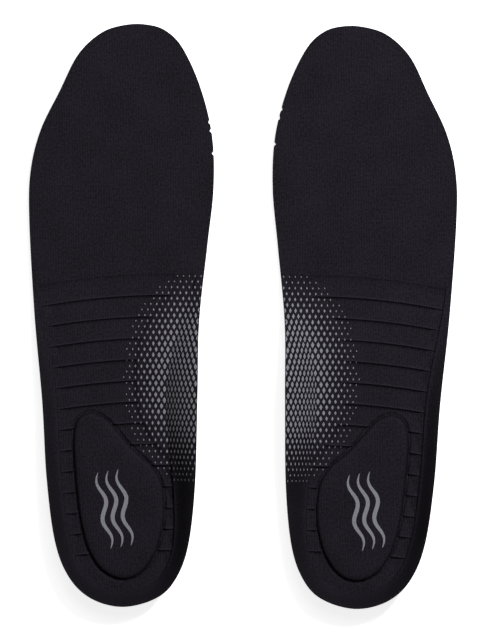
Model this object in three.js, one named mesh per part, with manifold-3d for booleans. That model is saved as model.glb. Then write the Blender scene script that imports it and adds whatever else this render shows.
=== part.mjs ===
// A pair of cushioned work-boot insoles, left and right, lying side by side.
//
// Each insole is four bonded pieces: a textile top cover, a moulded foam footbed with a heel cup and
// a raised arch, a pear-shaped heel cushion in a pocket under the cover, and a thin stiff shell that
// wraps the heel cup and the arch from below.
//
// Frame: millimetres. X runs across the pair, Y from heel to toe, and Z up. The origin is on the
// surface that the pair lies on, under its middle. The left insole is on the -X side.
import * as THREE from "three";
import { mergeVertices } from "three/addons/utils/BufferGeometryUtils.js";
import Module from "manifold-3d";

const wasm = await Module();
wasm.setup();

// ---- Driving dimensions, in millimetres ----
const LENGTH = 285; // heel to toe
const WIDTH = 90.5; // across the ball of the foot
const PAIR_GAP = 29; // between the two insoles at the ball
const COVER = 1; // textile top cover
const BOND = 0.3; // glue line between two bonded pieces
const FOREFOOT = 5; // whole thickness under the ball and the toes
const HEEL = 8; // whole thickness under the heel
const RIM = 3; // whole thickness at the trimmed rim of the heel cup
const CUP = 11; // height of the heel cup's rim over the heel floor
const ARCH_WALL = 8; // extra height of the rim beside the arch
const ARCH_SWELL = 5; // rise of the footbed itself towards the arch
const WALL = 7.5; // width of the sloping wall round the heel, seen from above
const ARCH_WALL_WIDER = 8.2; // how much wider that wall is beside the arch
const EDGE_BAND = 2.5; // width of the edge band where there is no wall
const ARCH_EASE = 1.8; // how much the wall beside the arch eases towards its rim: 1 is straight
const UNDERCUT = 4; // how much further in than the wall its outside starts to rise
const ARCH_UNDERCUT = 6; // the same, added beside the arch
const PAD_LENGTH = 81; // embossed outline of the heel pad
const PAD_WIDTH = 44.4;
const PAD_SETBACK = 13.5; // from the heel's tip to the pad
const PAD_ACROSS = 0; // from the insole's middle to the pad's middle
const CUSHION_INSET = 1.5; // from the embossed outline to the cushion under it
const POCKET_FLOOR = 1.2; // foam left between the cushion's pocket and the shell's recess
const SHELL = 1.2; // thickness of the arch shell
const SHELL_RECESS = 0.3; // how far the shell lies inside the foam's underside
const SHELL_EDGE = 5; // from the insole's edge to the shell
const SHELL_BAND = 8; // width of the shell round the heel
const SHELL_WING = 14; // how much wider the shell is under the arch
const NOTCH_DEPTH = 0.9; // gauge notches in the edge beside the big toe
const NOTCH_WIDTH = 2.2;

// The insole's edge, as shares of WIDTH from the outer side and of LENGTH from the heel.
const OUTLINE = [
  [0.62, 1], [0.5, 0.998], [0.38, 0.984], [0.26, 0.947], [0.162, 0.884], [0.06, 0.816],
  [0.008, 0.745], [0.004, 0.66], [0.037, 0.5], [0.084, 0.35], [0.112, 0.22], [0.16, 0.112],
  [0.238, 0.05], [0.36, 0.0135], [0.53, 0], [0.705, 0.0145], [0.81, 0.046], [0.88, 0.105],
  [0.915, 0.21], [0.924, 0.36], [0.929, 0.49], [0.969, 0.62], [1, 0.72], [0.989, 0.81],
  [0.923, 0.893], [0.825, 0.96], [0.73, 0.99],
];

// The heel pad's outline, as shares of PAD_WIDTH and PAD_LENGTH.
const PAD_OUTLINE = [
  [0.162, 1], [0.043, 0.957], [0, 0.852], [0.016, 0.667], [0.05, 0.481], [0.097, 0.321],
  [0.178, 0.173], [0.32, 0.056], [0.518, 0], [0.721, 0.025], [0.89, 0.136], [0.982, 0.296],
  [1, 0.457], [0.959, 0.593], [0.849, 0.688], [0.687, 0.765], [0.541, 0.852], [0.405, 0.938],
  [0.288, 0.985],
];

// Where the notches are, as shares of LENGTH from the heel.
const NOTCHES = { left: [0.833, 0.818, 0.779], right: [0.856, 0.841, 0.796] };

// Places along the insole, as shares of LENGTH from the heel.
const HEEL_CENTRE = 0.135; // the edge is swept round this point at the heel
const TOE_CENTRE = 0.8; // and round this one at the toe
const ARCH = [0.12, 0.37, 0.59]; // start, top and end of the raised arch
const ARCH_BAND = [0.05, 0.38, 0.62]; // start, widest place and end of the wider wall beside it
const CUP_FADE = [0.1, 0.57]; // the heel cup's rim drops to the floor between these
const WALL_FADE = [0.33, 0.61]; // its wall narrows to the edge band between these
const FLOOR_DROP = [0.42, 0.6]; // the floor drops from HEEL to FOREFOOT between these
const WING_START = 0.2; // the shell widens towards ARCH's top from here
const SHELL_TIP = { outer: 0.44, inner: 0.54 }; // the shell's two front ends
const TIP_TAPER = 0.12; // length over which the shell narrows to a front end
const BLUNT_TIP = 0.08; // how blunt a front end is: 0 is pointed
const SPINE_ACROSS = 0.51; // the middle line that the edge is swept round, as a share of WIDTH

// ---- How finely the soft surfaces are faceted ----
const SIDE_STEPS = 18;
const CAP_STEPS = 13;
const WALL_RINGS = 3;
const FLOOR_RINGS = 2;
const CURVE_STEPS = 8; // per outline point
const SHELL_STEPS = 3;

const step = (from, to, value) => THREE.MathUtils.smoothstep(value, from, to);
const hill = (from, top, to, value) => step(from, top, value) * (1 - step(top, to, value));
const across = (share) => (share - 0.5) * WIDTH;
const along = (share) => (share - 0.5) * LENGTH;
const shareAlong = (y) => y / LENGTH + 0.5;

/** Points of a smooth closed curve through [x, y] points. */
function closedCurve(points) {
  const corners = points.map(([x, y]) => new THREE.Vector3(x, y, 0));
  const curve = new THREE.CatmullRomCurve3(corners, true, "catmullrom", 0.5);
  return curve.getPoints(points.length * CURVE_STEPS).slice(0, -1);
}

/** The same closed line, moved outwards by a distance. The line runs anticlockwise. */
function grown(loop, distance) {
  return loop.map((point, i) => {
    const before = loop[(i + loop.length - 1) % loop.length];
    const after = loop[(i + 1) % loop.length];
    const run = after.clone().sub(before).normalize();
    return new THREE.Vector3(point.x + run.y * distance, point.y - run.x * distance, 0);
  });
}

/** A closed solid from a geometry. */
function solid(geometry) {
  const bare = geometry.clone();
  bare.deleteAttribute("normal");
  bare.deleteAttribute("uv");
  const merged = mergeVertices(bare, 1e-3);
  const corners = merged.index.array;
  const kept = [];
  for (let i = 0; i < corners.length; i += 3) {
    const [a, b, c] = corners.slice(i, i + 3);
    if (a !== b && b !== c && c !== a) kept.push(a, b, c);
  }
  const vertProperties = merged.attributes.position.array;
  return new wasm.Manifold(new wasm.Mesh({ numProp: 3, vertProperties, triVerts: new Uint32Array(kept) }));
}

/** A geometry from a closed solid. */
function geometryOf(body) {
  const mesh = body.getMesh();
  const geometry = new THREE.BufferGeometry();
  geometry.setAttribute("position", new THREE.BufferAttribute(mesh.vertProperties, 3));
  geometry.setIndex(new THREE.BufferAttribute(mesh.triVerts, 1));
  geometry.computeVertexNormals();
  return geometry;
}

/** An upright prism on a closed line, from one height to another. */
function prism(loop, low, high) {
  const shape = new THREE.Shape(loop.map((p) => new THREE.Vector2(p.x, p.y)));
  const geometry = new THREE.ExtrudeGeometry(shape, { depth: high - low, bevelEnabled: false });
  return solid(geometry.translate(0, 0, low));
}

// ---- The surfaces of one insole ----
// The edge is reached from the middle line along rays: straight across between the heel centre and
// the toe centre, and fanned out round those two points. A place on the insole is a ray and an inset,
// the distance in from the edge along that ray.

const edgeLine = closedCurve(OUTLINE.map(([a, b]) => [across(a), along(b)]));

/** How far the edge is from a point in a direction. */
function reach(start, direction) {
  let farthest = 0;
  edgeLine.forEach((a, i) => {
    const b = edgeLine[(i + 1) % edgeLine.length];
    const ax = a.x - start.x;
    const ay = a.y - start.y;
    const bx = b.x - a.x;
    const by = b.y - a.y;
    const slope = direction.x * by - direction.y * bx;
    if (Math.abs(slope) < 1e-9) return;
    const distance = (ax * by - ay * bx) / slope;
    const share = (ax * direction.y - ay * direction.x) / slope;
    if (share >= 0 && share <= 1) farthest = Math.max(farthest, distance);
  });
  return farthest;
}

/** One ray, with the wall's size where it meets the edge. */
function makeRay(start, direction) {
  const length = reach(start, direction);
  const place = shareAlong(start.y + direction.y * length);
  const inner = direction.x > 0;
  const arch = inner ? hill(...ARCH, place) : 0;
  const archBand = inner ? hill(...ARCH_BAND, place) : 0;
  const rise = CUP * (1 - step(...CUP_FADE, place)) + ARCH_WALL * arch;
  const wallBand = (WALL - EDGE_BAND) * (1 - step(...WALL_FADE, place));
  const band = EDGE_BAND + wallBand + ARCH_WALL_WIDER * archBand;
  const edgeTop = floorAt(start.y + direction.y * length) + rise + ARCH_SWELL * arch;
  const edgeThickness = FOREFOOT - (FOREFOOT - RIM) * step(0, 6, rise);
  return {
    start, direction, length, place, inner, arch, rise, band,
    underBand: band + UNDERCUT + ARCH_UNDERCUT * arch,
    underRise: edgeTop - edgeThickness,
  };
}

/** Height of the footbed's floor at a distance along the insole. */
function floorAt(y) {
  return FOREFOOT + (HEEL - FOREFOOT) * (1 - step(...FLOOR_DROP, shareAlong(y)));
}

/** Height of the insole's top at a place. */
function topAt(ray, inset, y) {
  const wall = Math.max(0, 1 - inset / ray.band);
  const cupShape = 0.45 * wall + 0.55 * step(0, 1, wall);
  const archShape = 1 - (1 - wall) ** ARCH_EASE;
  const shape = THREE.MathUtils.lerp(cupShape, archShape, ray.arch);
  const outwards = 1 - inset / ray.length;
  return floorAt(y) + ray.rise * shape + ARCH_SWELL * ray.arch * outwards ** 2;
}

/** Height of the insole's underside at a place: upright at the heel's rim, sloping at the arch. */
function underAt(ray, inset) {
  const wall = THREE.MathUtils.clamp(1 - inset / ray.underBand, 0, 1);
  return Math.max(0, ray.underRise) * (1 - (1 - wall ** 2) ** (0.5 + 0.25 * ray.arch));
}

/** A surface moved up by a thickness, which is measured square to the surface and not upright. */
function raised(heightAt, thickness) {
  const probe = 0.5;
  return (ray, inset, y) => {
    const [outer, inner] = [Math.max(0, inset - probe), inset + probe];
    const slope = (heightAt(ray, outer, y) - heightAt(ray, inner, y)) / (inner - outer);
    return heightAt(ray, inset, y) + thickness * Math.hypot(1, slope);
  };
}

/** All the rays, anticlockwise from the inner side of the toe. */
function makeRays() {
  const heel = new THREE.Vector2(across(SPINE_ACROSS), along(HEEL_CENTRE));
  const toe = new THREE.Vector2(across(SPINE_ACROSS), along(TOE_CENTRE));
  const fan = (centre, from) =>
    Array.from({ length: CAP_STEPS }, (_, i) => {
      const angle = from + (Math.PI * i) / CAP_STEPS;
      return makeRay(centre, new THREE.Vector2(Math.cos(angle), Math.sin(angle)));
    });
  const side = (from, to, sign) =>
    Array.from({ length: SIDE_STEPS }, (_, i) =>
      makeRay(from.clone().lerp(to, i / SIDE_STEPS), new THREE.Vector2(sign, 0)),
    );
  return [...fan(toe, 0), ...side(toe, heel, -1), ...fan(heel, Math.PI), ...side(heel, toe, 1)];
}

const rays = makeRays();

/** The point on a ray at an inset from the edge. */
function pointAt(ray, inset) {
  const left = ray.length - inset;
  return [ray.start.x + ray.direction.x * left, ray.start.y + ray.direction.y * left];
}

/** Insets from a ray's edge to the middle line, close together over the wall. */
function ringInsets(ray) {
  const wall = Array.from({ length: WALL_RINGS + 1 }, (_, i) => (ray.band * i) / WALL_RINGS);
  const left = ray.length - ray.underBand;
  const floor = Array.from({ length: FLOOR_RINGS + 1 }, (_, i) => ray.underBand + (left * i) / FLOOR_RINGS);
  return [...wall, ...floor];
}

/** Adds the triangles of a grid of points, given as rows of [x, y, z]. */
function addGrid(triangles, rows, turned) {
  for (let i = 0; i + 1 < rows.length; i++) {
    for (let j = 0; j + 1 < rows[i].length; j++) {
      const [a, b, c, d] = [rows[i][j], rows[i][j + 1], rows[i + 1][j + 1], rows[i + 1][j]];
      triangles.push(...(turned ? [a, b, c, a, c, d] : [a, c, b, a, d, c]));
    }
  }
}

/** A closed solid between two height functions, over part or all of the insole. */
function layer(chosen, insetsOf, lowAt, highAt, loops) {
  const rowsAt = (heightAt) =>
    chosen.map((ray) =>
      insetsOf(ray).map((inset) => {
        const [x, y] = pointAt(ray, inset);
        return [x, y, heightAt(ray, inset, y)];
      }),
    );
  const high = rowsAt(highAt);
  const low = rowsAt(lowAt);
  if (loops) {
    high.push(high[0]);
    low.push(low[0]);
  }
  const triangles = [];
  addGrid(triangles, high, false);
  addGrid(triangles, low, true);
  const last = high[0].length - 1;
  addGrid(triangles, [high, low].map((rows) => rows.map((row) => row[0])), false);
  if (!loops) {
    addGrid(triangles, [high, low].map((rows) => rows.map((row) => row[last])), true);
    addGrid(triangles, [high[0], low[0]], true);
    addGrid(triangles, [high.at(-1), low.at(-1)], false);
  }
  const geometry = new THREE.BufferGeometry();
  geometry.setAttribute("position", new THREE.Float32BufferAttribute(triangles.flat(), 3));
  return solid(geometry);
}

/** A layer over the whole insole. */
const sheet = (lowAt, highAt) => layer(rays, ringInsets, lowAt, highAt, true);

// ---- The pieces of one insole ----

const padLine = closedCurve(
  PAD_OUTLINE.map(([a, b]) => [
    PAD_ACROSS + (a - 0.5) * PAD_WIDTH,
    -LENGTH / 2 + PAD_SETBACK + b * PAD_LENGTH,
  ]),
);
const POCKET_BOTTOM = SHELL_RECESS + SHELL + BOND + POCKET_FLOOR;
const ABOVE = HEEL + CUP + ARCH_WALL + ARCH_SWELL; // higher than anything on the insole
const BELOW = -1; // lower than anything on the insole

function makeTopCover() {
  return sheet(raised(topAt, -COVER), topAt);
}

/** The foam before its pocket and its recess are cut. */
function makeFoamBlank() {
  return sheet(underAt, raised(topAt, -COVER - BOND));
}

function makeHeelCushion() {
  const outline = grown(padLine, -CUSHION_INSET);
  return makeFoamBlank().intersect(prism(outline, POCKET_BOTTOM + BOND, ABOVE));
}

/** The rays that the shell lies on, from its outer front end round the heel to its inner one. */
function shellRays() {
  const start = rays.findIndex((r) => !r.inner && r.direction.y === 0 && r.place < SHELL_TIP.outer);
  const end = rays.findLastIndex((r) => r.inner && r.direction.y === 0 && r.place < SHELL_TIP.inner);
  return rays.slice(start, end + 1);
}

/** Insets across the shell, which narrows to a round tip at each front end. */
function shellInsets(margin) {
  return (ray) => {
    const tip = ray.inner ? SHELL_TIP.inner : SHELL_TIP.outer;
    const wing = ray.inner ? SHELL_WING * step(WING_START, ARCH[1], ray.place) : 0;
    const half = (SHELL_BAND + wing) / 2;
    const taper = Math.sqrt(Math.min(1, (tip - ray.place) / TIP_TAPER + BLUNT_TIP));
    const from = SHELL_EDGE + half - half * taper - margin;
    const width = 2 * (half * taper + margin);
    return Array.from({ length: SHELL_STEPS + 1 }, (_, i) => from + (width * i) / SHELL_STEPS);
  };
}

function makeArchShell() {
  const low = raised(underAt, SHELL_RECESS);
  const high = raised(underAt, SHELL_RECESS + SHELL);
  return layer(shellRays(), shellInsets(0), low, high, false);
}

/** The recess for the shell, which is a glue line larger than the shell at its edges and above. */
function makeShellRecess() {
  const low = () => BELOW;
  const high = raised(underAt, SHELL_RECESS + SHELL + BOND);
  const chosen = shellRays();
  const ends = [chosen[0], chosen.at(-1)].map((ray) => ({
    ...ray,
    start: ray.start.clone().add(new THREE.Vector2(0, BOND)),
  }));
  return layer([ends[0], ...chosen.slice(1, -1), ends[1]], shellInsets(BOND), low, high, false);
}

/** The gauge notches, as one cutter. */
function makeNotchCutter(places) {
  const half = NOTCH_WIDTH / 2;
  return places
    .map((place) => {
      const start = new THREE.Vector2(across(SPINE_ACROSS), along(place));
      const edge = start.x + reach(start, new THREE.Vector2(1, 0));
      const tip = new THREE.Vector3(edge - NOTCH_DEPTH, start.y, 0);
      const mouth = [-2, 2].map((k) => new THREE.Vector3(edge + NOTCH_DEPTH, start.y + k * half, 0));
      return prism([tip, ...mouth], BELOW, ABOVE);
    })
    .reduce((all, next) => all.add(next));
}

function makeFoam(notches) {
  const pocket = prism(grown(padLine, BOND - CUSHION_INSET), POCKET_BOTTOM, ABOVE);
  return makeFoamBlank().subtract(pocket).subtract(makeShellRecess()).subtract(notches);
}

// ---- The pair ----

const materials = {
  top_cover: new THREE.MeshStandardMaterial({ color: 0x1b191d, roughness: 0.95, metalness: 0 }),
  footbed_foam: new THREE.MeshStandardMaterial({ color: 0x242326, roughness: 0.85, metalness: 0 }),
  heel_cushion: new THREE.MeshStandardMaterial({ color: 0x5d6672, roughness: 0.45, metalness: 0 }),
  arch_shell: new THREE.MeshStandardMaterial({ color: 0x33353a, roughness: 0.4, metalness: 0 }),
};

/** One insole, as a group of named meshes, in its own frame with the big toe on the +X side. */
function makeInsole(side) {
  const notches = makeNotchCutter(NOTCHES[side]);
  const pieces = {
    top_cover: makeTopCover().subtract(notches),
    footbed_foam: makeFoam(notches),
    heel_cushion: makeHeelCushion(),
    arch_shell: makeArchShell(),
  };
  const insole = new THREE.Group();
  for (const [name, body] of Object.entries(pieces)) {
    const mesh = new THREE.Mesh(geometryOf(body), materials[name]);
    mesh.name = `${side}_${name}`;
    insole.add(mesh);
  }
  return insole;
}

const pair = new THREE.Group();
const left = makeInsole("left");
left.position.x = -(PAIR_GAP + WIDTH) / 2;
const right = makeInsole("right");
right.position.x = (PAIR_GAP + WIDTH) / 2;
right.scale.x = -1; // the right insole is the left one's mirror image, apart from its notches
pair.add(left, right);

export default pair;
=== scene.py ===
"""A pair of cushioned insoles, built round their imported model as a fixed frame.

Each insole has a knit top cover with moulded ridges and a heel pad, a foam footbed with a moulded
sole, a gel cushion in a pocket under the heel, a stiff shell round the heel cup and the arch, a
printed field of diamonds beside the arch and a printed mark on the heel pad.

Lengths are in metres. An insole is worked out in its own frame, with +X towards the big toe's side
and +Y towards the toes, and the right insole is turned over from left to right.
"""

import math

import bmesh
import bpy
import numpy as np
from bpy.props import FloatProperty, FloatVectorProperty, IntProperty, PointerProperty
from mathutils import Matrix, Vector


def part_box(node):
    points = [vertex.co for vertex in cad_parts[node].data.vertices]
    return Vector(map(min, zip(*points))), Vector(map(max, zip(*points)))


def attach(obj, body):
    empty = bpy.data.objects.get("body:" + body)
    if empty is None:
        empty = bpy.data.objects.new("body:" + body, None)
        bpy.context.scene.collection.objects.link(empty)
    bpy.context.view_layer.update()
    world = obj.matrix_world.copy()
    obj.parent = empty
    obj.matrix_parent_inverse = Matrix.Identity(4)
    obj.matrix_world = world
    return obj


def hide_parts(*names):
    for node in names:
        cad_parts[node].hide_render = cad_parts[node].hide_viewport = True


bl_info = {
    "name": "Cushioned insoles",
    "version": (1, 0, 0),
    "blender": (4, 5, 0),
    "location": "3D View > Sidebar > Insoles",
    "description": "Makes a pair of cushioned insoles, layer by layer",
    "category": "Add Mesh",
}

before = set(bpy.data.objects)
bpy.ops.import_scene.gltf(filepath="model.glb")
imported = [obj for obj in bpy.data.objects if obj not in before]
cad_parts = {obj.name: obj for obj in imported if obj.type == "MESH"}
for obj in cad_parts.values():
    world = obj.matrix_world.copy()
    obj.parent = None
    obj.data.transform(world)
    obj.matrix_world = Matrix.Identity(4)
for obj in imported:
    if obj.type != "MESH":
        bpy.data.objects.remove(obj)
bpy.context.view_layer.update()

MM = 0.001
SIDES = ("left", "right")

# The insole's edge, as shares of its width from the outer side and of its length from the heel.
OUTLINE = (
    (0.62, 1), (0.5, 0.998), (0.38, 0.984), (0.26, 0.947), (0.162, 0.884), (0.06, 0.816),
    (0.008, 0.745), (0.004, 0.66), (0.037, 0.5), (0.084, 0.35), (0.112, 0.22), (0.16, 0.112),
    (0.238, 0.05), (0.36, 0.0135), (0.53, 0), (0.705, 0.0145), (0.81, 0.046), (0.88, 0.105),
    (0.915, 0.21), (0.924, 0.36), (0.929, 0.49), (0.969, 0.62), (1, 0.72), (0.989, 0.81),
    (0.923, 0.893), (0.825, 0.96), (0.73, 0.99),
)
# The heel pad's outline, as shares of its own width and length.
PAD_OUTLINE = (
    (0.162, 1), (0.043, 0.957), (0, 0.852), (0.016, 0.667), (0.05, 0.481), (0.097, 0.321),
    (0.178, 0.173), (0.32, 0.056), (0.518, 0), (0.721, 0.025), (0.89, 0.136), (0.982, 0.296),
    (1, 0.457), (0.959, 0.593), (0.849, 0.688), (0.687, 0.765), (0.541, 0.852), (0.405, 0.938),
    (0.288, 0.985),
)
# Gauge notches in the edge beside the big toe, as shares of the length.
NOTCHES = {"left": (0.833, 0.818, 0.779), "right": (0.856, 0.841, 0.796)}
NOTCH_DEPTH = 0.9 * MM
NOTCH_HALF = 1.1 * MM
# From the middle to the notches, and the width at the heel, as shares of the insole's width.
NOTCH_REACH = 0.475
HEEL_WIDTH = 0.8

# Places along the insole, as shares of its length from the heel.
HEEL_CENTRE = 0.135
TOE_CENTRE = 0.8
RIDGES_END = 0.6
ARCH = (0.12, 0.37, 0.59)
ARCH_BAND = (0.05, 0.38, 0.62)
CUP_FADE = (0.1, 0.57)
WALL_FADE = (0.33, 0.61)
FLOOR_DROP = (0.42, 0.6)
WING_START = 0.2
SHELL_TIP = {"outer": 0.44, "inner": 0.54}
TIP_TAPER = 0.12
SPINE_ACROSS = 0.51
PRINT_CENTRE = 0.3935
# The print starts from this share of the width.
PRINT_EDGE = 0.92
# The cup's wall is partly a straight slope, and the rest of it is S-shaped. Its rim is thinned where
# it stands higher than this.
CUP_STRAIGHT = 0.45
RIM_THINNED = 6 * MM

# The ridges' line, as y = slope * x - bow * x², with x from the middle in metres.
RIDGE_SLOPE = 0.0693
RIDGE_BOW = 1.6
# The same bend is given to the mesh's lines between these shares of the length, so that a ridge
# runs along them.
BEND_START = (0.14, 0.29)
BEND_END = (0.6, 0.8)
# Where the mesh has lines beside a ridge, towards the heel, when its rays are this far apart.
RIDGE_STEPS = tuple(k * MM for k in (-0.9, -0.7, -0.5, -0.3, -0.1, 0.1, 0.3, 0.55, 0.9, 1.3))
RIDGE_STEPS_APART = 0.5 * MM

# Borders of the ridged field, each from none to all of it: its front in ridges behind the first
# one, its sides from the wall's foot and from the pad, and where it comes out of the print, inside
# which it is faint, as a share of the print. The beads round it end behind the last ridge.
FIELD_FRONT = (-0.3, 0.4)
BEADS_END = (0.4, 1.4)
FIELD_SIDE = (-0.5 * MM, 0.1 * MM)
FIELD_PAD = (-0.2 * MM, 0.5 * MM)
FIELD_PRINT = (0.8, 0.88)
FIELD_FAINT = 0.12
FAINT_RIDGE = 0.2
# A ridge falls steeply to a groove, which is deeper near the walls. The pad rises from its edge.
RIDGE_FALL = 0.55 * MM
RIDGE_END = 2.2 * MM
RIDGE_END_DEEPER = {"inner": 0.3, "outer": 0.8}
PAD_SHOULDER = 1.9 * MM
# What is moulded along a line: how far it lies behind a ridge, inside the wall's foot or outside
# the pad, and its half width.
RIDGE_BEAD = (-0.45 * MM, 0.42 * MM)
RIM_BEAD = (-0.95 * MM, 0.45 * MM)
PAD_CHANNEL = (0.35 * MM, 0.75 * MM)
PAD_BORDER = (1.7 * MM, 0.4 * MM)
# The same for the lines where light and shade are painted on the knit: painted highlights along
# the ridges, the rim and the pad, and painted shade in the pad's channel and fading behind a ridge.
PAINTED_HIGHLIGHT_RIDGE = (-0.45 * MM, 0.34 * MM)
PAINTED_HIGHLIGHT_RIM = (-0.9 * MM, 0.3 * MM)
PAINTED_HIGHLIGHT_PAD = (-1.3 * MM, 0.5 * MM)
PAINTED_SHADE_CHANNEL = (0.35 * MM, 0.7 * MM)
PAINTED_SHADE_FALL = 0.7 * MM
# Painted shade on the wall, growing from its foot upwards, and from the first ridge towards the heel.
PAINTED_SHADE_WALL = (-0.5 * MM, -5 * MM)
PAINTED_SHADE_WALL_FRONT = (0, 4)
# How strong each painted highlight or painted shade is, beside 1 at a ridge.
PAINTED_LIGHT_SHARES = {"rim": 0.6, "pad": 0.3, "channel": 0.8, "wall": 0.45}

# Room under the cover for what is moulded in it, which starts at the wall's foot.
RELIEF_ROOM = 1 * MM
RELIEF_ROOM_START = (0, 3 * MM)
COVER_ROUND = 0.4 * MM
SOLE_ROUND = 0.7 * MM
# The foam's pocket, from the pad's outline inwards, and the gel cushion in it, which reaches about
# this far from its middle. Its waffle ends at a share of that.
POCKET_WALL = (-2.6 * MM, -1.2 * MM)
POCKET_FLOOR = 3 * MM
CUSHION_INSET = 2.9 * MM
CUSHION_CLEARANCE = {"under": 0.1 * MM, "over": 0.15 * MM}
CUSHION_REACH = 18 * MM
CUSHION_ROUND = 1.2 * MM
WAFFLE_HEIGHT = 0.35 * MM
WAFFLE_PITCH = 5.712 * MM
WAFFLE_END = 0.9
# The shell's recess is this much wider on each side, and its section has three low ribs.
SHELL_CLEARANCE = 0.2 * MM
SHELL_RIBS = (0.3, 0.5, 0.7)
RIB_HEIGHT = 0.25 * MM
RIB_WIDTH = 0.05
# The sole's studded panels. The ball's lies inside the insole's edge and ahead of a share of its
# length, and the heel's reaches past the pad. Studs start inside the foam and stay off the borders.
PANEL_INSET = 11 * MM
PANEL_BACK = 0.6
PANEL_PAST_PAD = 1 * MM
PANEL_SLOPE = (-0.5 * MM, 0.5 * MM)
STUD_ROOT = 0.3 * MM
STUD_CLEARANCE = 2.6 * MM

# Ink lies this far over the knit. The mark's middle lies behind the pad's.
INK_GAP = 0.03 * MM
MARK_SETBACK = 9.5 * MM


# ---- Settings -----------------------------------------------------------------------------------


def length(name, default, description):
    """A length that a user can change, given here in millimetres."""
    options = {"min": 0, "precision": 5, "unit": "LENGTH"}
    return FloatProperty(name=name, description=description, default=default * MM, **options)


def colour(name, default, description):
    options = {"size": 3, "min": 0, "max": 1, "subtype": "COLOR"}
    return FloatVectorProperty(name=name, description=description, default=default, **options)


class InsoleSizes(bpy.types.PropertyGroup):
    """Sizes of one insole and of what is moulded and printed on it."""

    cover: length("Cover", 1, "Thickness of the top cover")
    bond: length("Bond", 0.12, "Glue line between two pieces")
    forefoot: length("Forefoot", 5, "Whole thickness under the ball and the toes")
    heel: length("Heel", 8, "Whole thickness under the heel")
    rim: length("Rim", 3, "Whole thickness at the rim of the heel cup")
    cup: length("Cup", 11, "Height of the heel cup's rim over the floor")
    arch_wall: length("Arch wall", 8, "Extra height of the rim beside the arch")
    arch_swell: length("Arch swell", 5, "Rise of the footbed towards the arch")
    wall: length("Wall", 7.5, "Width of the sloping wall round the heel")
    arch_wall_wider: length("Arch wall wider", 8.2, "How much wider the wall is at the arch")
    arch_ease: FloatProperty(
        name="Arch ease",
        description="How much the wall beside the arch eases towards its rim: 1 is straight",
        default=1.8,
        min=1,
    )
    edge_band: length("Edge band", 2.5, "Width of the edge where there is no wall")
    undercut: length("Undercut", 4, "How much further in the outside starts to rise")
    arch_undercut: length("Arch undercut", 6, "The same, added beside the arch")

    ridge_pitch: length("Ridge pitch", 10.39, "From one moulded ridge to the next")
    ridge_start: length("Ridge start", 19.5, "First ridge, ahead of the insole's middle")
    ridge_count: IntProperty(name="Ridges", description="Moulded ridges", default=14, min=1)
    ridge_step: length("Ridge step", 1.15, "Drop behind a ridge")
    ridge_bead: length("Ridge bead", 0.35, "Height of the bead along a ridge")
    rim_bead: length("Rim bead", 0.4, "Height of the bead where the ridges meet the wall")
    field_depth: length("Field depth", 0.75, "How far the ridged field lies under the edge")

    pad_length: length("Pad length", 81, "Length of the heel pad")
    pad_width: length("Pad width", 44.4, "Width of the heel pad")
    pad_setback: length("Pad setback", 13.5, "From the heel's tip to the pad")
    pad_height: length("Pad height", 1.1, "Height of the pad's crown over its edge")
    channel_depth: length("Channel depth", 1.15, "Depth of the channel round the pad")
    border_height: length("Border height", 0.25, "Height of the bead round the channel")

    print_across: length("Print across", 36, "From the edge to the print's furthest diamond")
    print_along: length("Print along", 52.6, "Half of the print's length")
    diamond_pitch: length("Diamond pitch", 2.88, "From one diamond to the next in a row")
    diamond_row: length("Diamond row", 2.77, "From one row of diamonds to the next")
    diamond_width: length("Diamond width", 1.7, "Width of a full diamond")
    diamond_length: length("Diamond length", 3.0, "Length of a full diamond")
    ink: length("Ink", 0.05, "Thickness of the printed ink")

    shell: length("Shell", 1.2, "Thickness of the arch shell")
    shell_recess: length("Shell recess", 0.3, "How far the shell lies inside the foam")
    shell_edge: length("Shell edge", 5, "From the insole's edge to the shell")
    shell_band: length("Shell band", 8, "Width of the shell round the heel")
    shell_wing: length("Shell wing", 14, "How much wider the shell is under the arch")
    sole_panel: length("Sole panel", 0.8, "Depth of the studded panels in the sole")
    stud_pitch: length("Stud pitch", 5.2, "From one stud to the next")
    stud: length("Stud", 1.9, "Radius of a stud")


class InsoleColours(bpy.types.PropertyGroup):
    """Base colours of the materials."""

    knit: colour("Knit", (0.0068, 0.0057, 0.0086), "Knit of the top cover")
    foam: colour("Foam", (0.016, 0.0155, 0.0175), "Footbed foam")
    ink: colour("Ink", (0.195, 0.195, 0.222), "Printed diamonds and mark")
    gel: colour("Gel", (0.11, 0.135, 0.165), "Heel cushion")
    shell: colour("Shell", (0.033, 0.035, 0.04), "Arch shell")
    floor: colour("Floor", (0.92, 0.92, 0.92), "Floor")


# ---- Curves and heights -------------------------------------------------------------------------


def step(low, high, value):
    """0 below low, 1 above high, and a smooth change between them."""
    share = np.clip((value - low) / (high - low), 0, 1)
    return share * share * (3 - 2 * share)


def hill(start, top, end, value):
    return step(start, top, value) * (1 - step(top, end, value))


def bell(centre, width, value):
    return np.exp(-(((value - centre) / width) ** 2))


def closed_curve(points, steps):
    """Points on a smooth closed curve that passes through the given ones."""
    here = np.asarray(points, float)[:, None]
    before, after, beyond = (np.roll(here, shift, 0) for shift in (1, -1, -2))
    t = (np.arange(steps) / steps)[None, :, None]
    curve = (
        2 * here
        + (after - before) * t
        + (2 * before - 5 * here + 4 * after - beyond) * t**2
        + (3 * here - before - 3 * after + beyond) * t**3
    )
    return curve.reshape(-1, 2) / 2


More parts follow.
